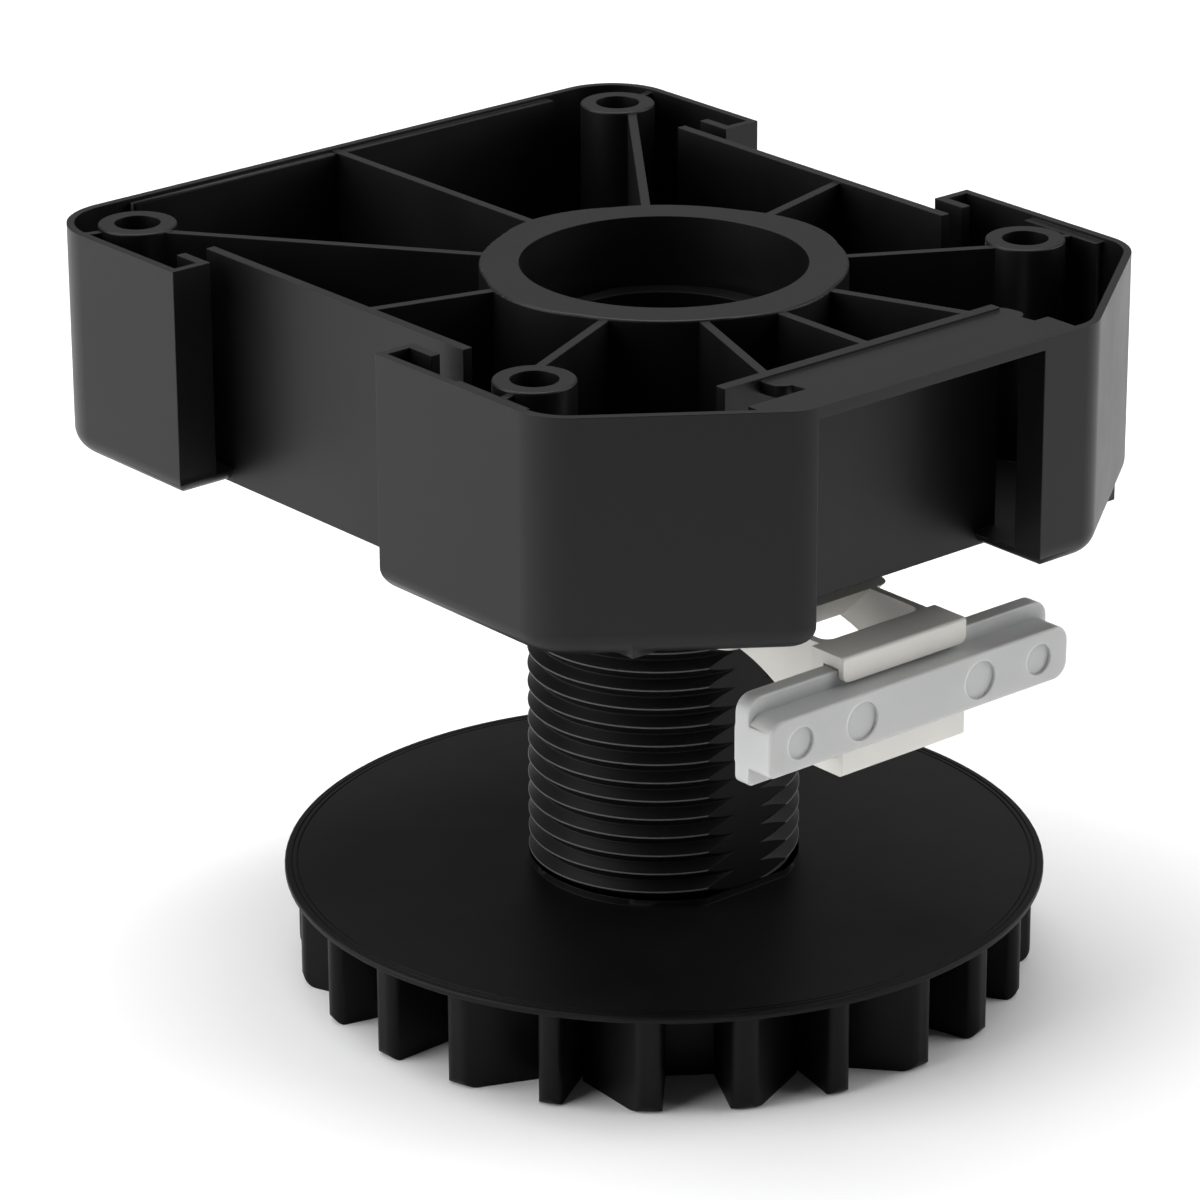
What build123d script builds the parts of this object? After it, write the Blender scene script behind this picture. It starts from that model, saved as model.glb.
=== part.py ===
from build123d import *
import os
from math import cos, hypot, radians, sin

# Adjustable cabinet leg. A round foot carries a threaded tube, a ribbed mounting plate turns on the
# thread and is screwed under a cabinet, and a clip round the tube holds a bar for the plinth board.
# Millimetres. The origin is on the floor under the leg's axis, Z is up and the plinth side is -Y.

# Foot disc and toothed skirt
disc_radius = 50.0
disc_thickness = 0.9
disc_edge_round = 0.3
disc_groove_radii = (49.0, 48.3)
disc_groove_width = 0.25
disc_groove_depth = 0.15
skirt_height = 13.3
drum_radius = 37.5
drum_wall = 2.5
tooth_tip_radius = 48.5
tooth_root_radius = 40.3
tooth_width = 3.0
tooth_round = 1.4
tooth_toe_round = 1.5
tooth_root_gap = 0.5
tooth_spread = 15.5
tooth_group_count = 8
tooth_group_turn = -13.6
web_count = 8
web_thickness = 1.6
web_lift = 1.0

# Threaded tube
thread_radius = 17.8
tube_bore_radius = 14.4
tube_length = 72.9
tube_flat_distance = 16.42
tube_mouth_chamfer = 0.6
thread_start_gap = 1.0
thread_pitch = 2.56
thread_depth = 1.25
thread_crest_width = 0.1
thread_upper_flank = 1.12
thread_root_width = 0.1

# Plinth clip: its collar, arms and jaw
clip_top_above_disc = 44.3
collar_clearance = 0.05
collar_wall = 3.6
collar_height = 5.0
collar_mouth_angle = 110.0
brow_width = 24.0
brow_front = 30.4
brow_slope = 5.1
brow_root_angle = 45.0
brow_corner_round = 2.0
arm_spacing = 17.1
arm_thickness = 1.1
arm_arc_radius = 23.6
arm_arc_back = 19.8
arm_arc_drop = 28.3
jaw_width = 20.8
jaw_height = 15.8
jaw_back = 39.6
jaw_web = 2.1
jaw_roof = 1.6
jaw_lip_thickness = 0.9
jaw_lip_reach_top = 3.3
jaw_lip_reach_bottom = 4.7
jaw_front_round = 0.5
jaw_back_round = 1.5
lip_corner_round = 1.0

# Plinth bar
bar_length = 50.7
bar_shift = 0.25
bar_clearance = 0.15
bar_flange_thickness = 2.4
bar_flange_height = 11.5
bar_flange_edge_round = 0.25
bar_nose_height = 7.2
bar_nose_depth = 3.95
bar_corner_round = 2.3
bar_low_left_round = 1.0
bar_edge_round = 0.4
dimple_depth = 0.4
outer_dimple_radius = 2.1
outer_dimple_offset = 20.2
inner_dimple_radius = 2.55
inner_dimple_offset = 10.0

# Mounting plate: outline and skin
plate_gap_above_clip = 6.9
plate_depth = 30.7
plate_width = 99.0
plate_front = 53.1
plate_back = 66.5
plate_wall = 1.0
plate_floor = 2.0
plate_back_corner = 9.0
plate_bottom_round = 3.0
chamfer_pocket_gap = 2.1
chamfer_along_side = 18.4
chamfer_corner_round = 8.0
chamfer_front_round = 6.0

# Mounting plate: recesses in its two sides
recess_front_y = -3.8
recess_back_y = 37.3
recess_depth = 8.9
recess_wall = 1.3
recess_wall_overlap = 4.9
lip_slot = 3.1
hook_thickness = 1.3
hook_length = 5.2

# Mounting plate: pocket in its front
pocket_left_x = -22.2
pocket_right_x = 15.2
pocket_panel_y = -41.0
pocket_panel_wall = 1.5
pocket_panel_overlap = 4.0
pocket_lip_depth = 4.5
pocket_hook_length = 3.6
beam_thickness = 1.5
beam_width = 5.7
beam_overlap = 6.0
roof_half_width = 20.5
roof_neck_half_width = 18.9
roof_neck_length = 2.4
roof_drop = 0.5
roof_corner_round = 2.0

# Mounting plate: socket, bosses, ribs and ledges
socket_radius = 23.45
socket_lobe_reach = 24.3
socket_lobe_radius = 17.0
socket_mouth_radius = 18.4
socket_edge_round = 0.35
nut_clearance = 0.05
nut_length = 20.0
boss_radius = 5.15
boss_edge_round = 0.3
screw_hole_radius = 3.0
screw_from_side = 8.6
screw_from_back = 9.85
screw_from_front = 29.65
rib_thickness = 1.2
rib_drop = 0.3
back_rib_x = -1.6
front_rib_x = (-18.7, -1.75, 15.9)
front_rib_ring_x = (-10.4, -1.75, 7.9)
side_rib_y = 10.6
side_rib_ring_angle = 14.5
boss_rib_ring_angles = (130.0, 55.0, 211.3, -34.6)
boss_rib_miss = 1.8
boss_tie_thickness = 1.0
boss_tie_shift = 2.2
ledge_width = 1.4
ledge_drop = 0.5
back_ledge_end_gap = 13.8
side_ledge_from_front = 23.1
side_ledge_length = 13.0

# Levels and places that follow from the sizes above
disc_top = skirt_height + disc_thickness
tube_top = disc_top + tube_length
clip_top = disc_top + clip_top_above_disc
plate_bottom = clip_top + plate_gap_above_clip
plate_top = plate_bottom + plate_depth
floor_top = plate_bottom + plate_floor
plate_half_width = plate_width / 2
chamfer_front_half_width = chamfer_pocket_gap - pocket_left_x
chamfer_side_y = chamfer_along_side - plate_front
recess_wall_offset = plate_half_width - recess_depth
nut_radius = thread_radius + nut_clearance
collar_bore_radius = thread_radius + collar_clearance
panel_inside_y = pocket_panel_y + pocket_panel_wall
recess_wall_middle = recess_wall_offset - recess_wall / 2
screw_half_spacing_x = plate_half_width - screw_from_side
screw_back_y = plate_back - screw_from_back
screw_front_y = screw_from_front - plate_front
boss_places = [(-screw_half_spacing_x, screw_back_y), (screw_half_spacing_x, screw_back_y),
               (-screw_half_spacing_x, screw_front_y), (screw_half_spacing_x, screw_front_y)]
cut_margin = 1.0


def tapered_tooth(side):
    """The plan of an outer tooth: one side runs straight out, the other slants to the group's root."""
    tip_x = side * tooth_tip_radius * sin(radians(tooth_spread))
    tip_y = tooth_tip_radius * cos(radians(tooth_spread))
    along = (sin(radians(tooth_spread)) * side, cos(radians(tooth_spread)))
    across = (along[1] * side, -along[0] * side)
    half = tooth_width / 2
    inside = drum_radius - drum_wall / 2
    run = tooth_tip_radius - inside
    root_x = side * (half + tooth_root_gap)
    outer_tip = (tip_x + across[0] * half, tip_y + across[1] * half)
    inner_tip = (tip_x - across[0] * half, tip_y - across[1] * half)
    outer_foot = (outer_tip[0] - along[0] * run, outer_tip[1] - along[1] * run)
    root = (root_x, tooth_root_radius)
    outline = make_face(Polyline(outer_foot, outer_tip, inner_tip, root, (root_x, inside), close=True))
    tips = [v for v in outline.vertices() if hypot(v.X, v.Y) > (tooth_tip_radius + tooth_root_radius) / 2]
    return fillet(tips, tooth_round)


def tooth_group():
    """The plan of three teeth in a fan about +Y: a straight one between two tapered ones."""
    inside = drum_radius - drum_wall / 2
    length = tooth_tip_radius - inside
    middle = Pos(0, inside + length / 2) * Rectangle(tooth_width, length)
    middle = fillet(middle.vertices().group_by(Axis.Y)[-1], tooth_round)
    return tapered_tooth(-1) + middle + tapered_tooth(1)


def skirt_envelope():
    """A turned body as wide as the tooth tips, with its lower edge rounded."""
    envelope = Pos(0, 0, skirt_height / 2) * Cylinder(tooth_tip_radius, skirt_height)
    return fillet(envelope.edges().group_by(Axis.Z)[0], tooth_toe_round)


def grooved_disc():
    """The round disc with softened edges and fine rings cut into its top."""
    disc = Pos(0, 0, disc_top - disc_thickness / 2) * Cylinder(disc_radius, disc_thickness)
    disc = fillet(disc.edges(), disc_edge_round)
    for radius in disc_groove_radii:
        ring = Circle(radius + disc_groove_width / 2) - Circle(radius - disc_groove_width / 2)
        disc -= Pos(0, 0, disc_top - disc_groove_depth) * extrude(ring, disc_thickness)
    return disc


def ridged_post():
    """The tube's outside, filled: plain at its foot, then sharp ridges up to its mouth."""
    root = thread_radius - thread_depth
    mouth = tube_top - tube_mouth_chamfer
    start = disc_top + thread_start_gap
    lower_flank = thread_pitch - thread_crest_width - thread_upper_flank - thread_root_width
    outline = [(0, 0), (thread_radius, 0), (thread_radius, start)]
    for index in range(int((mouth - start - lower_flank) / thread_pitch)):
        foot = start + index * thread_pitch
        crest = foot + lower_flank
        shoulder = crest + thread_crest_width
        outline += [(root, foot), (thread_radius, crest), (thread_radius, shoulder)]
        outline += [(root, shoulder + thread_upper_flank)]
        last_foot = foot + thread_pitch
    outline += [(root, last_foot), (thread_radius, last_foot + lower_flank)]
    outline += [(thread_radius, mouth), (thread_radius - tube_mouth_chamfer, tube_top), (0, tube_top)]
    return revolve(Plane.XZ * make_face(Polyline(*outline, close=True)), Axis.Z)


def threaded_foot():
    """The disc, its toothed skirt, the webs under it and the hollow tube, as one moulding."""
    drum = extrude(Circle(drum_radius) - Circle(drum_radius - drum_wall), skirt_height + disc_thickness / 2)
    teeth = Sketch()
    for index in range(tooth_group_count):
        turn = 180 + tooth_group_turn + index * 360 / tooth_group_count
        teeth += Rot(0, 0, turn) * tooth_group()
    skirt = extrude(teeth, skirt_height + disc_thickness / 2)
    toe_cut = extrude(Circle(disc_radius + cut_margin), skirt_height) - skirt_envelope()
    skirt -= toe_cut
    web_length = drum_radius - drum_wall / 2
    web_height = skirt_height - web_lift + disc_thickness / 2
    web = Pos(0, web_length / 2, web_lift + web_height / 2) * Box(web_thickness, web_length, web_height)
    foot = grooved_disc() + drum + skirt
    for index in range(web_count):
        foot += Rot(0, 0, index * 360 / web_count) * web
    tube = ridged_post()
    flat_depth = thread_radius - tube_flat_distance + cut_margin
    for side in (-1, 1):
        flat = Box(2 * thread_radius, flat_depth, tube_length)
        tube -= Pos(0, side * (tube_flat_distance + flat_depth / 2), disc_top + tube_length / 2) * flat
    foot += tube
    return foot - Pos(0, 0, tube_top / 2) * Cylinder(tube_bore_radius, tube_top + 2 * cut_margin)


def near(value, target):
    """Whether two coordinates are the same to a thousandth."""
    return abs(value - target) < 0.001


def jaw():
    """The channel that grips the bar's flange; it opens to the front between two lips."""
    web_front = -(jaw_back + jaw_web)
    lip_inside = web_front - bar_flange_thickness - 2 * bar_clearance
    front = lip_inside - jaw_lip_thickness
    bottom = clip_top - jaw_height
    roof = clip_top - jaw_roof
    shelf = roof - bar_flange_height - 2 * bar_clearance
    top_lip_end = clip_top - jaw_lip_reach_top
    bottom_lip_end = bottom + jaw_lip_reach_bottom
    inside = [(lip_inside, top_lip_end), (lip_inside, roof), (web_front, roof), (web_front, shelf),
              (lip_inside, shelf), (lip_inside, bottom_lip_end)]
    outside = [(front, bottom_lip_end), (front, bottom), (-jaw_back, bottom), (-jaw_back, clip_top),
               (front, clip_top), (front, top_lip_end)]
    section = make_face(Polyline(*inside, *outside, close=True))
    front_points = [v for v in section.vertices() if near(v.X, front)]
    corners = [v for v in front_points if near(v.Y, bottom) or near(v.Y, clip_top)]
    section = fillet(corners, jaw_front_round)
    body = extrude(Plane.YZ * section, jaw_width / 2, both=True)
    ends = [e for e in body.edges().filter_by(Axis.Y) if near(abs(e.center().X), jaw_width / 2)]
    lip_ends = [e for e in ends if near(e.center().Z, top_lip_end) or near(e.center().Z, bottom_lip_end)]
    return fillet(lip_ends, lip_corner_round)


def clip_arms():
    """Two plates from the jaw back to the collar, with an arched lower edge."""
    bottom = clip_top - jaw_height
    back_y = -arm_arc_back
    reach = jaw_back + jaw_web / 2 - arm_arc_back
    middle = (back_y - reach / 2, bottom + jaw_height / 2)
    side = Pos(*middle) * Rectangle(reach, jaw_height)
    side -= Pos(back_y, clip_top - arm_arc_drop) * Circle(arm_arc_radius)
    plate = extrude(Plane.YZ * side, arm_thickness / 2, both=True)
    return Pos(arm_spacing / 2, 0, 0) * plate + Pos(-arm_spacing / 2, 0, 0) * plate


def clip_brow():
    """The cross piece in front of the collar, whose front face leans back towards its foot."""
    bottom = clip_top - collar_height
    back_y = -thread_radius * cos(radians(brow_root_angle))
    section = make_face(Polyline((-brow_front, clip_top), (back_y, clip_top), (back_y, bottom),
                                 (-brow_front + brow_slope, bottom), close=True))
    body = extrude(Plane.YZ * section, brow_width / 2, both=True)
    front = body.faces().sort_by(Axis.Y)[0]
    corners = [e for e in front.edges() if near(abs(e.center().X), brow_width / 2)]
    return fillet(corners, brow_corner_round)


def clip_collar():
    """A ring round the tube, open at the back so that it can be pushed on."""
    bottom = clip_top - collar_height
    ring = Circle(collar_bore_radius + collar_wall) - Circle(collar_bore_radius)
    reach = 2 * (collar_bore_radius + collar_wall)
    half_angle = radians(collar_mouth_angle / 2)
    mouth_x = reach * sin(half_angle)
    mouth_y = reach * cos(half_angle)
    mouth = make_face(Polyline((0, 0), (mouth_x, mouth_y), (-mouth_x, mouth_y), close=True))
    return Pos(0, 0, bottom) * extrude(ring - mouth, collar_height)


def plinth_clip():
    """Jaw, arms, cross piece and collar as one moulding."""
    body = jaw() + clip_arms() + clip_brow() + clip_collar()
    arm_inside = (arm_spacing - arm_thickness) / 2
    corners = [e for e in body.edges().filter_by(Axis.Z)
               if near(abs(e.center().X), arm_inside) and near(e.center().Y, -jaw_back)]
    body = fillet(corners, jaw_back_round)
    return body - Pos(0, 0, clip_top) * Cylinder(collar_bore_radius, 2 * jaw_height)


def rounded(points, corners):
    """A closed plan through some points, with the listed corners rounded."""
    outline = make_face(Polyline(*points, close=True))
    for corner, radius in corners:
        outline = fillet(outline.vertices().sort_by_distance(corner)[0], radius)
    return outline


def bar_plan(height):
    """The bar's outline seen from its front, with one sharper corner low on its left."""
    x, y = bar_length / 2, height / 2
    corners = [(-x, -y), (x, -y), (x, y), (-x, y)]
    return rounded(corners, zip(corners, [bar_low_left_round] + 3 * [bar_corner_round]))


def plinth_bar():
    """A flat flange that slides in the jaw with a deeper nose in front, dimpled along its face."""
    flange_back = -(jaw_back + jaw_web + bar_clearance)
    centre_z = clip_top - jaw_roof - bar_clearance - bar_flange_height / 2
    flange = extrude(bar_plan(bar_flange_height), bar_flange_thickness)
    rims = flange.edges().group_by(Axis.Z)
    flange = fillet(rims[0] + rims[-1], bar_flange_edge_round)
    face_level = bar_flange_thickness + bar_nose_depth
    nose = extrude(bar_plan(bar_nose_height), face_level)
    nose = fillet(nose.edges().group_by(Axis.Z)[-1], bar_edge_round)
    bar = flange + nose
    dimples = ((outer_dimple_offset, outer_dimple_radius), (inner_dimple_offset, inner_dimple_radius))
    for offset, radius in dimples:
        for side in (-1, 1):
            bar -= Pos(side * offset, 0, face_level) * Cylinder(radius, 2 * dimple_depth)
    return Plane(origin=(bar_shift, flange_back, centre_z), x_dir=(1, 0, 0), z_dir=(0, -1, 0)) * bar


def block(outline):
    """A solid part of the plate with the given plan and its lower edges rounded."""
    solid = Pos(0, 0, plate_bottom) * extrude(outline, plate_depth)
    return fillet(solid.edges().group_by(Axis.Z)[0], plate_bottom_round)


def span(x_from, x_to, y_from, y_to):
    """A rectangle in plan between two X and two Y values."""
    return Pos((x_from + x_to) / 2, (y_from + y_to) / 2) * Rectangle(abs(x_to - x_from), abs(y_to - y_from))


def front_block_points(side, edge_x, inset):
    """The plan of a front block, or of the space inside it when there is an inset."""
    half = plate_half_width - inset
    front = -plate_front + inset
    slope = (chamfer_side_y + plate_front) / (plate_half_width - chamfer_front_half_width)
    shift = inset * (hypot(1, slope) - slope)
    turn = inset * (hypot(1, slope) - 1) / slope
    chamfer_front = (side * (chamfer_front_half_width - turn), front)
    chamfer_side = (side * half, chamfer_side_y + shift)
    back = recess_front_y - inset
    return [(edge_x, front), chamfer_front, chamfer_side, (side * half, back), (edge_x, back)]


def front_outline():
    """The plan in front of the side recesses, with its front corners cut off and rounded."""
    left = front_block_points(-1, 0, 0)[1:4]
    right = front_block_points(1, 0, 0)[1:4]
    corners = [(side[0], chamfer_front_round) for side in (left, right)]
    corners += [(side[1], chamfer_corner_round) for side in (left, right)]
    return rounded(left + right[::-1], corners)


def back_outline():
    """The full-width plan behind the side recesses, with its two back corners rounded."""
    points = [(-plate_half_width, plate_back), (-plate_half_width, recess_back_y),
              (plate_half_width, recess_back_y), (plate_half_width, plate_back)]
    return rounded(points, [(points[0], plate_back_corner), (points[3], plate_back_corner)])


def front_pocket():
    """The space of the front pocket, flared at its foot so that its side edges come out rounded."""
    low = plate_bottom
    radius = plate_bottom_round
    section = span(pocket_left_x, pocket_right_x, low - cut_margin, plate_top + cut_margin)
    for edge_x, side in ((pocket_left_x, -1), (pocket_right_x, 1)):
        flare = span(edge_x - side, edge_x + side * radius, low - cut_margin, low + radius)
        section += flare - Pos(edge_x + side * radius, low + radius) * Circle(radius)
    depth = plate_front + pocket_panel_y + cut_margin
    return Plane(origin=(0, pocket_panel_y, 0), x_dir=(1, 0, 0), z_dir=(0, -1, 0)) * extrude(section, depth)


def side_cavity(side):
    """The plan of the space inside the blocks on one side, with the slots beside the recess wall."""
    inner_half = plate_half_width - plate_wall
    wall_outer = recess_wall_offset
    wall_inner = recess_wall_offset - recess_wall
    hook_outer = wall_outer + lip_slot
    back_lip = recess_back_y + plate_wall
    front_lip = recess_front_y - plate_wall
    edge_x = side * wall_inner
    front_edge_x = pocket_right_x if side > 0 else pocket_left_x
    points = front_block_points(side, 0, plate_wall)
    front = rounded(points, [(points[1], chamfer_front_round - plate_wall),
                             (points[2], chamfer_corner_round - plate_wall)])
    front &= span(front_edge_x + side * plate_wall, side * plate_half_width, -plate_front, recess_front_y)
    back = span(edge_x, side * inner_half, back_lip, plate_back - plate_wall)
    outer_corner = (side * inner_half, plate_back - plate_wall)
    back = fillet(back.vertices().sort_by_distance(outer_corner)[0], plate_back_corner - plate_wall)
    cavity = front + back
    cavity += span(side * wall_outer, side * hook_outer, recess_back_y - cut_margin, back_lip)
    cavity += span(side * wall_outer, side * hook_outer, recess_front_y + cut_margin, front_lip)
    wall_front = front_lip - recess_wall_overlap
    cavity -= span(edge_x, side * wall_outer, wall_front, recess_back_y + recess_wall_overlap)
    hook_far = hook_outer + hook_thickness
    cavity -= span(side * hook_outer, side * hook_far, back_lip, recess_back_y + hook_length)
    cavity -= span(side * hook_outer, side * hook_far, front_lip, recess_front_y - hook_length)
    return cavity


def front_cavity(side):
    """The plan of the slot beside the pocket's panel, and of the hook on the pocket's lip."""
    edge_x = pocket_right_x if side > 0 else pocket_left_x
    lip_x = edge_x + side * plate_wall
    lip_y = -plate_front + pocket_lip_depth
    slot = span(edge_x - side * cut_margin, lip_x, lip_y, pocket_panel_y)
    hook = span(lip_x, lip_x + side * pocket_hook_length, lip_y - hook_thickness, lip_y)
    return slot, hook


def plate_cavity():
    """The plan of everything that is open above the plate's floor."""
    half = recess_wall_offset - recess_wall
    cavity = span(-half, half, pocket_panel_y + pocket_panel_wall, plate_back - plate_wall)
    for side in (-1, 1):
        cavity += side_cavity(side)
    for side in (-1, 1):
        slot, hook = front_cavity(side)
        cavity += slot
        cavity -= hook
    panel_left = pocket_left_x - pocket_panel_overlap
    panel_right = pocket_right_x + pocket_panel_overlap
    return cavity - span(panel_left, panel_right, pocket_panel_y, pocket_panel_y + pocket_panel_wall)


def upright(plan, drop=0.0):
    """A wall or post from the plate's floor to its rim, or to a drop below the rim."""
    return Pos(0, 0, plate_bottom + plate_floor / 2) * extrude(plan, plate_depth - plate_floor / 2 - drop)


def rib(start, end, thickness):
    """A straight wall between two points in plan."""
    length = hypot(end[0] - start[0], end[1] - start[1])
    centre = Vector((start[0] + end[0]) / 2, (start[1] + end[1]) / 2)
    direction = Vector(end[0] - start[0], end[1] - start[1])
    turn = Vector(1, 0).get_signed_angle(direction, Vector(0, 0, 1))
    return Pos(centre.X, centre.Y) * Rot(0, 0, turn) * Rectangle(length, thickness)


def ring_point(degrees):
    """A point inside the socket's wall at an angle counted from +X towards +Y."""
    middle = (socket_radius + socket_mouth_radius) / 2
    return (middle * cos(radians(degrees)), middle * sin(radians(degrees)))


def ribs():
    """The plan of the ribs that run from the socket to the bosses and to the walls around it."""
    half = socket_mouth_radius + (socket_radius - socket_mouth_radius) / 2
    plan = rib((back_rib_x, half), (back_rib_x, plate_back - plate_wall / 2), rib_thickness)
    for ring_x, end_x in zip(front_rib_ring_x, front_rib_x):
        start_y = -((half ** 2 - ring_x ** 2) ** 0.5)
        plan += rib((ring_x, start_y), (end_x, pocket_panel_y + pocket_panel_wall / 2), rib_thickness)
    for side in (-1, 1):
        start = ring_point(90 - side * (90 - side_rib_ring_angle))
        plan += rib(start, (side * recess_wall_middle, side_rib_y), rib_thickness)
    for (x, y), angle in zip(boss_places, boss_rib_ring_angles):
        start = ring_point(angle)
        reach = hypot(x - start[0], y - start[1])
        across = ((y - start[1]) / reach, -(x - start[0]) / reach)
        aside = boss_rib_miss if y < 0 else -boss_rib_miss * (1 if x < 0 else -1)
        end = (x + across[0] * aside, y + across[1] * aside)
        plan += rib(start, end, rib_thickness)
    return plan


def boss_ties():
    """The plan of the short ribs from each boss to the outer wall beside it."""
    plan = Sketch()
    for x, y in boss_places:
        side = 1 if x > 0 else -1
        end_y = y + boss_tie_shift * (1 if y > 0 else -1)
        plan += rib((x, y), (side * (plate_half_width - plate_wall / 2), end_y), boss_tie_thickness)
    return plan


def ledges():
    """The plan of the strips that thicken the back wall and the front blocks' side walls."""
    back_y = plate_back - plate_wall
    half = plate_half_width - back_ledge_end_gap
    plan = span(-half, half, back_y - ledge_width, back_y + plate_wall / 2)
    inner_x = plate_half_width - plate_wall - ledge_width
    outer_x = plate_half_width - plate_wall / 2
    front_y = side_ledge_from_front - plate_front
    for side in (-1, 1):
        plan += span(side * inner_x, side * outer_x, front_y, front_y + side_ledge_length)
    return plan


def socket():
    """The ring that takes the tube, with four shallow lobes on its outside."""
    plan = Circle(socket_radius)
    for index in range(4):
        lobe = Pos(socket_lobe_reach - socket_lobe_radius, 0) * Circle(socket_lobe_radius)
        plan += Rot(0, 0, index * 90) * lobe
    ring = upright(plan)
    return fillet(ring.edges().group_by(Axis.Z)[-1], socket_edge_round)


def front_beam():
    """The flat bridge over the front pocket and the roof behind it, which falls towards its end."""
    front = -plate_front
    beam_back = front + beam_width
    beam = span(pocket_left_x - beam_overlap, pocket_right_x + beam_overlap, front, beam_back)
    beam &= front_outline()
    bridge = Pos(0, 0, plate_top - beam_thickness) * extrude(beam, beam_thickness)
    roof_front = beam_back + roof_neck_length
    roof = span(-roof_half_width, roof_half_width, roof_front, panel_inside_y)
    roof = fillet(roof.vertices(), roof_corner_round)
    neck_back = roof_front + roof_corner_round
    roof += span(-roof_neck_half_width, roof_neck_half_width, beam_back - plate_wall, neck_back)
    deck = Pos(0, 0, plate_top - beam_thickness - roof_drop) * extrude(roof, beam_thickness + roof_drop)
    low = (beam_back - plate_wall, plate_top - beam_thickness)
    roof_end_z = plate_top - roof_drop
    slope = Polyline((beam_back, plate_top), (panel_inside_y, roof_end_z),
                     (panel_inside_y, roof_end_z - beam_thickness), low, (low[0], plate_top), close=True)
    wedge = extrude(Plane.YZ * make_face(slope), plate_half_width, both=True)
    return bridge + (deck & wedge)


def mounting_plate():
    """The ribbed tray: skin, floor, recess walls, socket, bosses, ribs and front beam as one moulding."""
    core_y = (pocket_panel_y, plate_back - plate_back_corner)
    core_plan = span(-recess_wall_offset, recess_wall_offset, *core_y)
    core = Pos(0, 0, plate_bottom) * extrude(core_plan, plate_depth)
    skin = core + block(back_outline()) + block(front_outline())
    inside = socket() + upright(ribs(), rib_drop)
    inside += upright(boss_ties(), ledge_drop) + upright(ledges(), ledge_drop)
    for place in boss_places:
        boss = upright(Pos(*place) * Circle(boss_radius))
        inside += fillet(boss.edges().group_by(Axis.Z)[-1], boss_edge_round)
    body = skin - front_pocket()
    body -= Pos(0, 0, floor_top) * extrude(plate_cavity(), plate_depth)
    body += inside & skin
    body += front_beam()
    middle = plate_bottom + plate_depth / 2
    through = plate_depth + 2 * cut_margin
    for place in boss_places:
        body -= Pos(*place, middle) * Cylinder(screw_hole_radius, through)
    body -= Pos(0, 0, middle) * Cylinder(nut_radius, through)
    mouth = extrude(Circle(socket_mouth_radius), plate_depth)
    return body - Pos(0, 0, plate_bottom + nut_length) * mouth


pieces = {
    "threaded_foot": threaded_foot,
    "plinth_clip": plinth_clip,
    "plinth_bar": plinth_bar,
    "mounting_plate": mounting_plate,
}

os.makedirs("parts", exist_ok=True)
for name, make in pieces.items():
    export_step(make(), f"parts/{name}.step")
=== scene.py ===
"""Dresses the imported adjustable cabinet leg: its moulded pieces, thread, finishes, studio and camera."""

import logging
from dataclasses import dataclass, field
from enum import Enum
from math import cos, pi, radians, sin

import bmesh
import bpy
import numpy as np
from mathutils import Matrix, Vector


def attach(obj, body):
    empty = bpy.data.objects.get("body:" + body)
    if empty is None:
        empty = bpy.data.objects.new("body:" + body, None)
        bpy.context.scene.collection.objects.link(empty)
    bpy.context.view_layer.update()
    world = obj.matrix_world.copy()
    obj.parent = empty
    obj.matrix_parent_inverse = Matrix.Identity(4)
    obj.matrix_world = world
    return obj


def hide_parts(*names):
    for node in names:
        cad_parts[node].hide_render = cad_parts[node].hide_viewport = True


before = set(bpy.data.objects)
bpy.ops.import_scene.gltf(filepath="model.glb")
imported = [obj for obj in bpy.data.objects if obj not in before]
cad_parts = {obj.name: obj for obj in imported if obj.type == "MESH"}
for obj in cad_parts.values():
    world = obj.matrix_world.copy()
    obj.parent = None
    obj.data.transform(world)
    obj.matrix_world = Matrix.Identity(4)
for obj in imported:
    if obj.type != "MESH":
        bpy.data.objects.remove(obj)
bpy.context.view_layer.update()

# Lengths are in metres and turns in degrees
MM = 0.001
WELD_DISTANCE = 0.002 * MM
SEAM_DISTANCE = 0.001 * MM
CUT_TOLERANCE = 0.0001 * MM
FLAT_TURN = 0.3
SMOOTH_TURN = 26.0
LARGE_FACE_WEIGHT = 100
log = logging.getLogger("cabinet_leg")


def linear(shade: str) -> tuple[float, float, float, float]:
    """Turns an sRGB hex value such as 1a1a1c into a linear colour with full alpha."""
    parts = np.array([int(shade[k:k + 2], 16) for k in (0, 2, 4)]) / 255
    curve = np.where(parts <= 0.04045, parts / 12.92, ((parts + 0.055) / 1.055) ** 2.4)
    return (*map(float, curve), 1.0)


def add_node(tree: bpy.types.NodeTree, kind: str, inputs: dict | None = None,
             **settings: object) -> bpy.types.Node:
    """Adds one node, with its settings, values and links.

    Args:
        tree: the node tree that gets the node.
        kind: Blender's type name of the node.
        inputs: a value, or the output socket that feeds it, for each socket's name or number.
        settings: properties of the node itself.

    Returns:
        The new node.
    """
    node = tree.nodes.new(kind)
    for name, value in settings.items():
        setattr(node, name, value)
    for name, value in (inputs or {}).items():
        if isinstance(value, bpy.types.NodeSocket):
            tree.links.new(value, node.inputs[name])
        else:
            node.inputs[name].default_value = value
    return node


def new_piece(name: str, mesh: bpy.types.Mesh) -> bpy.types.Object:
    """Links a mesh into the scene as an object at the origin."""
    piece = bpy.data.objects.new(name, mesh)
    bpy.context.scene.collection.objects.link(piece)
    return piece


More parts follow.
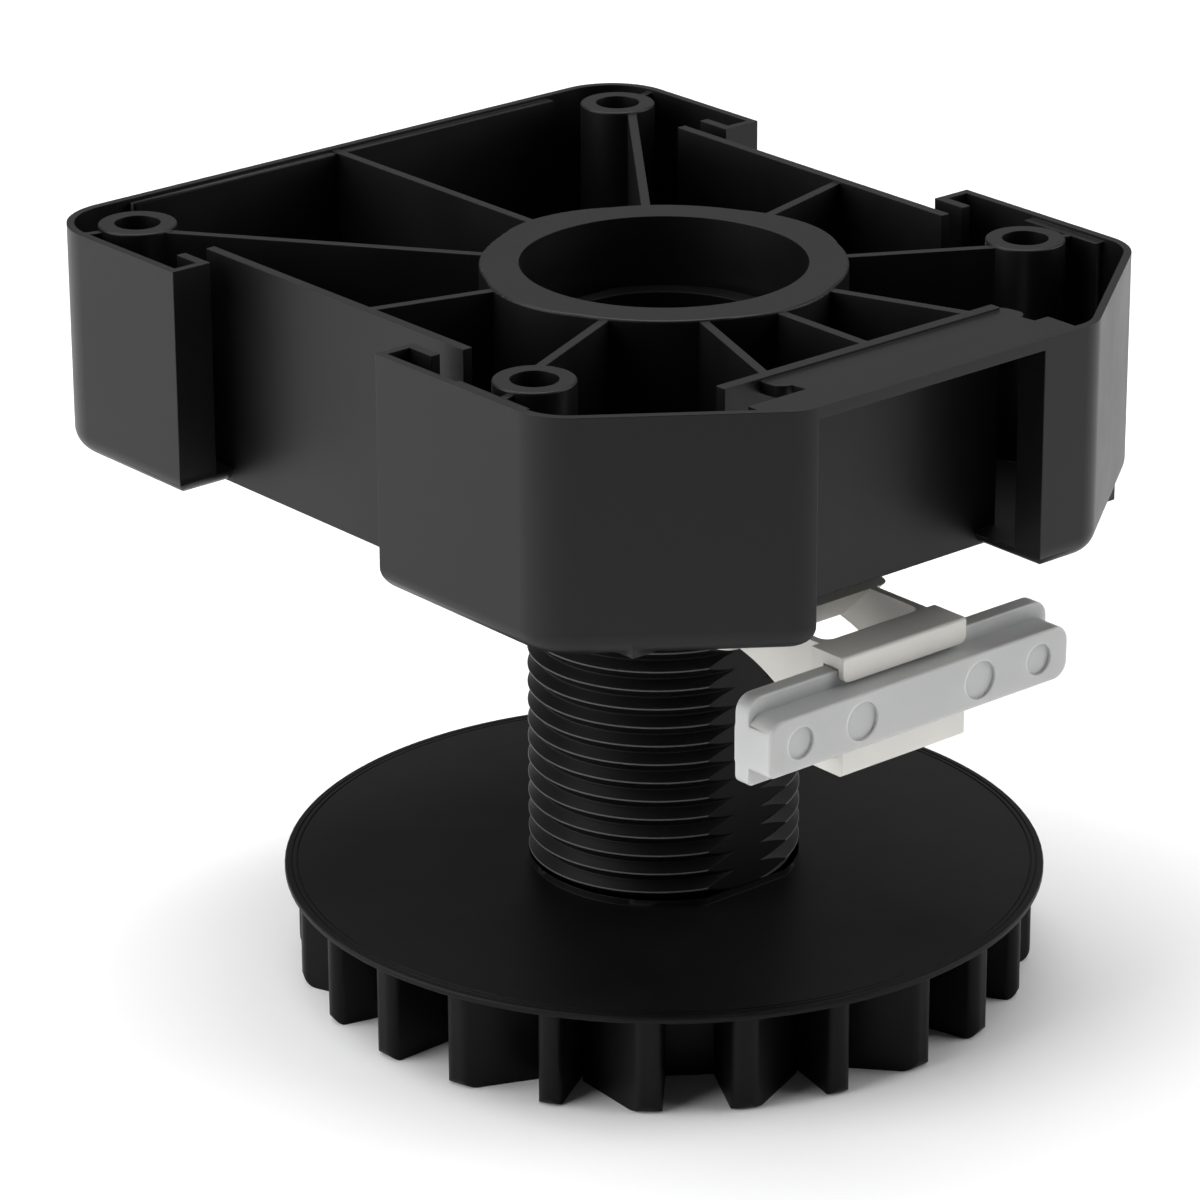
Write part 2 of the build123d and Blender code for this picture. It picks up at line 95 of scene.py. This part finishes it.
def closed_grid(name: str, points: np.ndarray) -> bpy.types.Mesh:
    """Puts a grid of points into a mesh whose last row joins its first.

    The face at row r and column c takes the points (r, c), (r, c + 1), (r + 1, c + 1) and (r + 1, c).

    Args:
        name: the mesh's name.
        points: an array of rows by columns by three coordinates, in metres.

    Returns:
        The mesh, with its doubles still apart.
    """
    rows, columns = points.shape[:2]
    here = np.arange(rows * columns).reshape(rows, columns)
    above = np.roll(here, -1, axis=0)
    faces = np.stack([here[:, :-1], here[:, 1:], above[:, 1:], above[:, :-1]], axis=-1).reshape(-1, 4)
    mesh = bpy.data.meshes.new(name)
    mesh.from_pydata(points.reshape(-1, 3).tolist(), [], faces.tolist())
    return mesh


def merged_copy(node: str, name: str) -> bpy.types.Object:
    """Copies a CAD node's mesh into a new piece, with its loose triangles joined into flat faces.

    Args:
        node: the CAD node to copy.
        name: the new piece's name.

    Returns:
        The new piece, at the origin.
    """
    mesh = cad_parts[node].data.copy()
    mesh.name = name
    mesh.materials.clear()
    shape = bmesh.new()
    shape.from_mesh(mesh)
    bmesh.ops.remove_doubles(shape, verts=shape.verts, dist=WELD_DISTANCE)
    bmesh.ops.dissolve_limit(shape, angle_limit=radians(FLAT_TURN), use_dissolve_boundaries=False,
                             verts=shape.verts, edges=shape.edges)
    shape.to_mesh(mesh)
    shape.free()
    return new_piece(name, mesh)


def cut_flat(shape: bmesh.types.BMesh, point: tuple[float, float, float],
             outward: tuple[float, float, float]) -> None:
    """Cuts a shape at a plane, clears what lies outside it and closes the cut.

    Args:
        shape: the shape to cut.
        point: a point of the plane, in metres.
        outward: the plane's direction towards the side that is cleared.
    """
    everything = [*shape.verts, *shape.edges, *shape.faces]
    cut = bmesh.ops.bisect_plane(shape, geom=everything, dist=CUT_TOLERANCE, plane_co=point,
                                 plane_no=outward, clear_outer=True)
    rim = [part for part in cut["geom_cut"] if isinstance(part, bmesh.types.BMEdge)]
    bmesh.ops.triangle_fill(shape, edges=rim, use_beauty=True, normal=outward)


def smooth_by_angle(piece: bpy.types.Object, angle: float) -> None:
    """Shades a piece smooth up to an angle, with its flat faces kept flat.

    Large faces outweigh small ones where they meet, so that a wall beside a rounded edge stays even.

    Args:
        piece: the piece to shade.
        angle: the turn in degrees above which an edge stays sharp.
    """
    mesh = piece.data
    mesh.polygons.foreach_set("use_smooth", np.ones(len(mesh.polygons), dtype=bool))
    mesh.set_sharp_from_angle(angle=radians(angle))
    weights = piece.modifiers.new("flat walls", "WEIGHTED_NORMAL")
    weights.mode = "FACE_AREA"
    weights.weight = LARGE_FACE_WEIGHT
    weights.keep_sharp = True


def dress(piece: bpy.types.Object, finish: "MouldedPlastic", body: str,
          node: str) -> bpy.types.Object:
    """Gives a piece its finish and says what it belongs to.

    Args:
        piece: the piece to dress.
        finish: the plastic that it is moulded from.
        body: the body that it rides on.
        node: the CAD node that it stands for.

    Returns:
        The same piece.
    """
    piece.data.materials.append(finish.material())
    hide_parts(node)
    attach(piece, body)
    return piece


@dataclass(frozen=True)
class MouldedPlastic:
    """Injection-moulded plastic as it leaves a lightly eroded mould.

    The skin has a fine matt grain, and long soft flow marks change its sheen a little. A natural or white
    plastic also lets some light into its surface, which softens its shadows.
    """

    name: str
    shade: str
    flow_shade: str
    roughness: float
    flow_roughness: float
    ior: float = 1.49
    specular: float = 0.5
    grain_size: float = 0.35 * MM
    grain_height: float = 0.006 * MM
    grain_detail: float = 2.0
    grain_contrast: float = 0.6
    edge_round: float = 0.18 * MM
    edge_samples: int = 6
    flow_size: float = 14 * MM
    flow_detail: float = 3.0
    flow_contrast: float = 0.55
    flow_low: float = 0.3
    flow_high: float = 0.7
    subsurface: float = 0.0
    subsurface_depth: float = 1.0 * MM
    subsurface_reach: tuple[float, float, float] = (1.0, 0.9, 0.8)

    def material(self) -> bpy.types.Material:
        """Returns the finish's node material, made on its first use."""
        known = bpy.data.materials.get(self.name)
        if known:
            return known
        material = bpy.data.materials.new(self.name)
        material.use_nodes = True
        tree = material.node_tree
        tree.nodes.clear()
        place = add_node(tree, "ShaderNodeTexCoord").outputs["Object"]
        flow = add_node(tree, "ShaderNodeTexNoise", {
            "Vector": place, "Scale": 1 / self.flow_size,
            "Detail": self.flow_detail, "Roughness": self.flow_contrast})
        colour = self.flow_colour(tree, flow.outputs["Fac"])
        sheen = add_node(tree, "ShaderNodeMapRange", {
            "Value": flow.outputs["Fac"], "From Min": self.flow_low, "From Max": self.flow_high,
            "To Min": self.roughness, "To Max": self.flow_roughness})
        grain = add_node(tree, "ShaderNodeTexNoise", {
            "Vector": place, "Scale": 1 / self.grain_size,
            "Detail": self.grain_detail, "Roughness": self.grain_contrast})
        edge = add_node(tree, "ShaderNodeBevel", {"Radius": self.edge_round}, samples=self.edge_samples)
        skin = add_node(tree, "ShaderNodeBump", {
            "Height": grain.outputs["Fac"], "Strength": 1.0, "Distance": self.grain_height,
            "Normal": edge.outputs["Normal"]})
        surface = add_node(tree, "ShaderNodeBsdfPrincipled", {
            "Base Color": colour, "Roughness": sheen.outputs["Result"], "Normal": skin.outputs["Normal"],
            "IOR": self.ior, "Specular IOR Level": self.specular,
            "Subsurface Weight": self.subsurface, "Subsurface Radius": self.subsurface_reach,
            "Subsurface Scale": self.subsurface_depth})
        add_node(tree, "ShaderNodeOutputMaterial", {"Surface": surface.outputs["BSDF"]})
        return material

    def flow_colour(self, tree: bpy.types.NodeTree, amount: bpy.types.NodeSocket) -> bpy.types.NodeSocket:
        """Returns a colour that drifts between the finish's two shades.

        Args:
            tree: the material's node tree.
            amount: how far the flow marks have got, from 0 to 1.

        Returns:
            The colour socket.
        """
        ramp = add_node(tree, "ShaderNodeValToRGB", {"Fac": amount})
        ramp.color_ramp.elements[0].position = self.flow_low
        ramp.color_ramp.elements[0].color = linear(self.shade)
        ramp.color_ramp.elements[1].position = self.flow_high
        ramp.color_ramp.elements[1].color = linear(self.flow_shade)
        return ramp.outputs["Color"]


@dataclass(frozen=True)
class CrestedPlastic(MouldedPlastic):
    """Moulded plastic of a thread, with its sharp crests drawn paler.

    The paler shade is a painted highlight: it stands in for the thin lines of light that the crests catch,
    which come out too dark in the plain shade. The real thread is taken to be one colour.
    """

    # Painted highlight on the crests, in place of the light that they catch
    crest_highlight_shade: str = "58585a"
    crest_from: float = 17.7 * MM
    crest_full: float = 17.78 * MM

    def flow_colour(self, tree: bpy.types.NodeTree, amount: bpy.types.NodeSocket) -> bpy.types.NodeSocket:
        """Returns the plain colour, which turns to the crests' painted highlight with the distance from the
        leg's axis.

        Args:
            tree: the material's node tree.
            amount: how far the flow marks have got, from 0 to 1.

        Returns:
            The colour socket.
        """
        plain = super().flow_colour(tree, amount)
        place = add_node(tree, "ShaderNodeTexCoord").outputs["Object"]
        level = add_node(tree, "ShaderNodeVectorMath", {0: place, 1: (1, 1, 0)}, operation="MULTIPLY")
        radius = add_node(tree, "ShaderNodeVectorMath", {0: level.outputs["Vector"]}, operation="LENGTH")
        # Painted highlight: the colour turns paler towards the crest radius
        crest = add_node(tree, "ShaderNodeMapRange", {
            "Value": radius.outputs["Value"], "From Min": self.crest_from, "From Max": self.crest_full})
        both = add_node(tree, "ShaderNodeMixRGB", {
            "Fac": crest.outputs["Result"], "Color1": plain, "Color2": linear(self.crest_highlight_shade)})
        return both.outputs["Color"]


# Black polyamide from a lightly eroded mould: near black, with a soft sheen where it faces the pale floor
BLACK_POLYAMIDE = MouldedPlastic("black_polyamide", "0a0a0b", "0e0e0f", 0.38, 0.44, specular=0.27)
# Black polyamide with a duller skin: the foot's disc stays darker than the plate under the same light
DULL_POLYAMIDE = MouldedPlastic("dull_black_polyamide", "0a0a0b", "0e0e0f", 0.44, 0.52, specular=0.15)
# Black polyamide on the thread, a little less dull than the disc: its crests carry a painted highlight as
# thin pale lines
THREAD_POLYAMIDE = CrestedPlastic("crested_black_polyamide", "0a0a0b", "0e0e0f", 0.4, 0.48, specular=0.15)
# White acetal: a warm white with a close, even sheen and slightly soft shadows
WHITE_ACETAL = MouldedPlastic("white_acetal", "dedcd6", "e2e0da", 0.42, 0.5, ior=1.48, subsurface=0.12,
                              subsurface_depth=0.8 * MM)
# Natural polypropylene: milky and slightly see-through, so its thick parts look cloudy
NATURAL_POLYPROPYLENE = MouldedPlastic("natural_polypropylene", "bbbcbc", "c1c2c2", 0.34, 0.42,
                                       subsurface=0.6, subsurface_depth=2.5 * MM)


class Hand(Enum):
    """The way a thread climbs, seen from above."""

    RIGHT = 1
    LEFT = -1


@dataclass
class FootThread:
    """The sharp single-start thread moulded on the foot's tube, with two flats along it."""

    crest_radius: float = 17.8 * MM
    root_radius: float = 16.55 * MM
    bore_radius: float = 14.4 * MM
    flat_distance: float = 16.42 * MM
    bottom: float = 15.1 * MM
    top: float = 87.1 * MM
    mouth_chamfer: float = 0.6 * MM
    pitch: float = 2.56 * MM
    crest_land: float = 0.1 * MM
    upper_flank: float = 1.12 * MM
    root_land: float = 0.1 * MM
    corner_round: float = 0.04 * MM
    phase: float = 1.88 * MM
    starts: int = 1
    columns: int = 180
    smooth_angle: float = SMOOTH_TURN
    hand: Hand = Hand.RIGHT

    def profile(self) -> tuple[np.ndarray, np.ndarray]:
        """Gives the ridge's profile over one pitch, from the foot of the crest upwards.

        The crest and the root are narrow and straight, and the lower flank takes what the upper one leaves of
        the pitch. Each corner is cut back a little and has a point a short way to its sloping side.

        Returns:
            The heights and the radii of the profile's points.
        """
        soft = self.corner_round
        tip = soft / 4
        crest, root = self.crest_radius, self.root_radius
        shoulder = self.crest_land
        foot = shoulder + self.upper_flank
        rise = foot + self.root_land
        upper = (crest - root) / self.upper_flank
        lower = (crest - root) / (self.pitch - rise)
        heights = [0, shoulder, shoulder + soft, foot - soft, foot, rise, rise + soft, self.pitch - soft]
        radii = [crest - tip * lower, crest - tip * upper, crest - soft * upper, root + soft * upper,
                 root + tip * upper, root + tip * lower, root + soft * lower, crest - soft * lower]
        return np.array(heights), np.array(radii)

    def surface(self) -> np.ndarray:
        """Works out the tube's surface as a closed grid of rings.

        A ridge climbs by the starts times the pitch in one turn, so the height of a profile point at an
        angle is its own height plus that climb. Heights are held between the tube's ends, and the radius is
        the profile's at the held height less the climb, taken round by the pitch. Near the mouth the radius
        is held inside a cone. Two rings on the bore close the grid.

        Returns:
            An array of rows by columns by three coordinates, in metres.
        """
        turn = np.linspace(0, 2 * pi, self.columns + 1)
        climb = self.hand.value * self.starts * self.pitch * turn / (2 * pi) + self.phase
        heights, radii = self.profile()
        first = int(np.floor((self.bottom - climb.max()) / self.pitch)) - 1
        last = int(np.ceil((self.top - climb.min()) / self.pitch)) + 1
        ladder = (np.arange(first, last)[:, None] * self.pitch + heights[None, :]).reshape(-1, 1)
        height = np.clip(ladder + climb[None, :], self.bottom, self.top)
        place = np.mod(height - climb[None, :], self.pitch)
        radius = np.interp(place, heights, radii, period=self.pitch)
        radius = np.minimum(radius, self.crest_radius - self.mouth_chamfer + self.top - height)
        ends = np.array([[self.top], [self.bottom]]) * np.ones_like(turn)
        height = np.vstack([height, ends])
        radius = np.vstack([radius, np.full_like(ends, self.bore_radius)])
        return np.stack([radius * np.cos(turn), radius * np.sin(turn), height], axis=-1)

    def build(self) -> bpy.types.Object:
        """Makes the tube from its surface, closes its seam and cuts its two flats."""
        mesh = closed_grid("foot_thread", self.surface())
        shape = bmesh.new()
        shape.from_mesh(mesh)
        bmesh.ops.remove_doubles(shape, verts=shape.verts, dist=SEAM_DISTANCE)
        for side in (-1, 1):
            cut_flat(shape, (0, side * self.flat_distance, 0), (0, side, 0))
        bmesh.ops.recalc_face_normals(shape, faces=shape.faces)
        shape.to_mesh(mesh)
        shape.free()
        piece = new_piece("foot_thread", mesh)
        smooth_by_angle(piece, self.smooth_angle)
        return dress(piece, THREAD_POLYAMIDE, "foot", "threaded_foot")


@dataclass
class FootBase:
    """The foot's round disc, its toothed skirt and the webs under it, up to the start of the thread."""

    cut_height: float = 15.2 * MM
    smooth_angle: float = SMOOTH_TURN

    def build(self) -> bpy.types.Object:
        """Copies the foot's solid, cuts it at the start of the thread and closes the cut."""
        piece = merged_copy("threaded_foot", "foot_base")
        shape = bmesh.new()
        shape.from_mesh(piece.data)
        cut_flat(shape, (0, 0, self.cut_height), (0, 0, 1))
        shape.to_mesh(piece.data)
        shape.free()
        smooth_by_angle(piece, self.smooth_angle)
        return dress(piece, DULL_POLYAMIDE, "foot", "threaded_foot")


@dataclass
class MountingPlate:
    """The ribbed plate that is screwed to the cabinet, with its socket, bosses and pockets."""

    smooth_angle: float = SMOOTH_TURN

    def build(self) -> bpy.types.Object:
        """Copies the plate's solid and shades its rounded corners smooth."""
        piece = merged_copy("mounting_plate", "plate_moulding")
        smooth_by_angle(piece, self.smooth_angle)
        return dress(piece, BLACK_POLYAMIDE, "plate", "mounting_plate")


@dataclass
class PlinthClip:
    """The white clip whose collar turns on the tube and whose jaw holds the plinth bar."""

    smooth_angle: float = SMOOTH_TURN

    def build(self) -> bpy.types.Object:
        """Copies the clip's solid and shades its rounded corners smooth."""
        piece = merged_copy("plinth_clip", "clip_moulding")
        smooth_by_angle(piece, self.smooth_angle)
        return dress(piece, WHITE_ACETAL, "clip", "plinth_clip")


@dataclass
class PlinthBar:
    """The milky bar that is fixed to the back of the plinth board."""

    smooth_angle: float = SMOOTH_TURN

    def build(self) -> bpy.types.Object:
        """Copies the bar's solid and shades its rounded corners smooth."""
        piece = merged_copy("plinth_bar", "bar_moulding")
        smooth_by_angle(piece, self.smooth_angle)
        return dress(piece, NATURAL_POLYPROPYLENE, "bar", "plinth_bar")


@dataclass(frozen=True)
class Softbox:
    """One soft square lamp that faces a point of the leg."""

    name: str
    place: tuple[float, float, float]
    side: float
    watts: float
    aim: tuple[float, float, float] = (0.0, 0.0, 0.045)

    def build(self) -> bpy.types.Object:
        """Hangs the lamp at its place and turns it to its aim."""
        light = bpy.data.lights.new(self.name, "AREA")
        light.shape = "SQUARE"
        light.size = self.side
        light.energy = self.watts
        lamp = bpy.data.objects.new(self.name, light)
        bpy.context.scene.collection.objects.link(lamp)
        lamp.location = self.place
        lamp.rotation_euler = (Vector(self.aim) - Vector(self.place)).to_track_quat("-Z", "Y").to_euler()
        return lamp


@dataclass
class Studio:
    """A pale floor, a room with a grey back wall and a dark front and ceiling, and soft lamps."""

    floor_half: float = 4.0
    floor_shade: str = "fafafa"
    floor_roughness: float = 0.9
    floor_specular: float = 0.1
    back_wall: tuple[float, float, float] = (0.648, 0.762, 0.0)
    back_light: float = 0.3
    front_light: float = 0.1
    ceiling_share: float = 0.06
    wall_turn: float = 0.6
    wall_rise: float = 0.45
    ceiling_rise: float = 0.8
    lamps: tuple[Softbox, ...] = (
        Softbox("overhead_softbox", (0.1, 0.3, 1.3), 1.3, 20.0),
        Softbox("left_softbox", (-1.15, 0.5, 0.65), 1.3, 18.5),
        Softbox("right_softbox", (1.2, -0.85, 0.8), 1.3, 14.0),
    )

    def floor(self) -> bpy.types.Object:
        """Lays the floor in the plane that the foot stands on."""
        half = self.floor_half
        corners = [(-half, -half, 0), (half, -half, 0), (half, half, 0), (-half, half, 0)]
        mesh = bpy.data.meshes.new("floor")
        mesh.from_pydata(corners, [], [(0, 1, 2, 3)])
        # Matt white floor paint: even and almost without sheen, so only the leg's soft shadow shows on it
        material = bpy.data.materials.new("matt_floor_paint")
        material.use_nodes = True
        surface = material.node_tree.nodes["Principled BSDF"]
        surface.inputs["Base Color"].default_value = linear(self.floor_shade)
        surface.inputs["Roughness"].default_value = self.floor_roughness
        surface.inputs["Specular IOR Level"].default_value = self.floor_specular
        mesh.materials.append(material)
        floor = new_piece("floor", mesh)
        return floor

    def room(self) -> None:
        """Fills the room with plain light that falls from its back wall to its front and to its ceiling.

        The strength follows the direction looked at: from the front's to the back wall's as it turns to the
        back, and down to the ceiling's share of that above the walls.
        """
        world = bpy.data.worlds.new("studio_room")
        bpy.context.scene.world = world
        world.use_nodes = True
        tree = world.node_tree
        tree.nodes.clear()
        toward = add_node(tree, "ShaderNodeTexCoord").outputs["Generated"]
        backward = add_node(tree, "ShaderNodeVectorMath", {0: toward, 1: self.back_wall},
                            operation="DOT_PRODUCT")
        walls = add_node(tree, "ShaderNodeMapRange", {
            "Value": backward.outputs["Value"], "From Min": -self.wall_turn, "From Max": self.wall_turn,
            "To Min": self.front_light, "To Max": self.back_light})
        height = add_node(tree, "ShaderNodeSeparateXYZ", {"Vector": toward}).outputs["Z"]
        share = add_node(tree, "ShaderNodeMapRange", {
            "Value": height, "From Min": self.wall_rise, "From Max": self.ceiling_rise,
            "To Min": 1.0, "To Max": self.ceiling_share})
        strength = add_node(tree, "ShaderNodeMath", {0: walls.outputs["Result"], 1: share.outputs["Result"]},
                            operation="MULTIPLY")
        light = add_node(tree, "ShaderNodeBackground", {
            "Color": (1, 1, 1, 1), "Strength": strength.outputs[0]})
        add_node(tree, "ShaderNodeOutputWorld", {"Surface": light.outputs[0]})

    def build(self) -> None:
        """Lays the floor, fills the room and hangs the lamps."""
        self.floor()
        self.room()
        for lamp in self.lamps:
            lamp.build()


@dataclass
class Viewpoint:
    """The photograph's viewing angle: a long lens from the front left, a little above the leg."""

    azimuth: float = -40.380
    elevation: float = 21.847
    roll: float = -0.256
    aim_right: float = -8.275 * MM
    aim_height: float = 49.914 * MM
    distance: float = 715.491 * MM
    lens: float = 165.62
    sensor: float = 36.0
    nearest: float = 10 * MM

    def build(self) -> bpy.types.Object:
        """Places the camera on a line back from its aim and turns its picture by the roll."""
        side, lift, turn = radians(self.azimuth), radians(self.elevation), radians(self.roll)
        back = Vector((sin(side) * cos(lift), -cos(side) * cos(lift), sin(lift)))
        right = Vector((cos(side), sin(side), 0))
        up = back.cross(right)
        across = cos(turn) * right + sin(turn) * up
        upright = -sin(turn) * right + cos(turn) * up
        place = self.aim_right * right + Vector((0, 0, self.aim_height)) + self.distance * back
        lens = bpy.data.cameras.new("photo_camera")
        lens.lens = self.lens
        lens.sensor_fit = "HORIZONTAL"
        lens.sensor_width = self.sensor
        lens.clip_start = self.nearest
        camera = bpy.data.objects.new("photo_camera", lens)
        bpy.context.scene.collection.objects.link(camera)
        stance = Matrix((across, upright, back)).transposed().to_4x4()
        camera.matrix_world = Matrix.Translation(place) @ stance
        bpy.context.scene.camera = camera
        return camera


@dataclass
class CabinetLeg:
    """The whole leg, piece by piece."""

    base: FootBase = field(default_factory=FootBase)
    thread: FootThread = field(default_factory=FootThread)
    plate: MountingPlate = field(default_factory=MountingPlate)
    clip: PlinthClip = field(default_factory=PlinthClip)
    bar: PlinthBar = field(default_factory=PlinthBar)

    def build(self) -> list[bpy.types.Object]:
        """Makes the pieces in order and reports each one.

        Returns:
            The pieces.
        """
        pieces = []
        for part in (self.base, self.thread, self.plate, self.clip, self.bar):
            piece = part.build()
            log.info("%s: %d faces", piece.name, len(piece.data.polygons))
            pieces.append(piece)
        return pieces


def main() -> None:
    """Builds the leg, the studio and the camera."""
    logging.basicConfig(level=logging.INFO, format="%(name)s: %(message)s")
    CabinetLeg().build()
    Studio().build()
    Viewpoint().build()
    bpy.context.scene.view_settings.view_transform = "Standard"


if __name__ == "__main__":
    main()
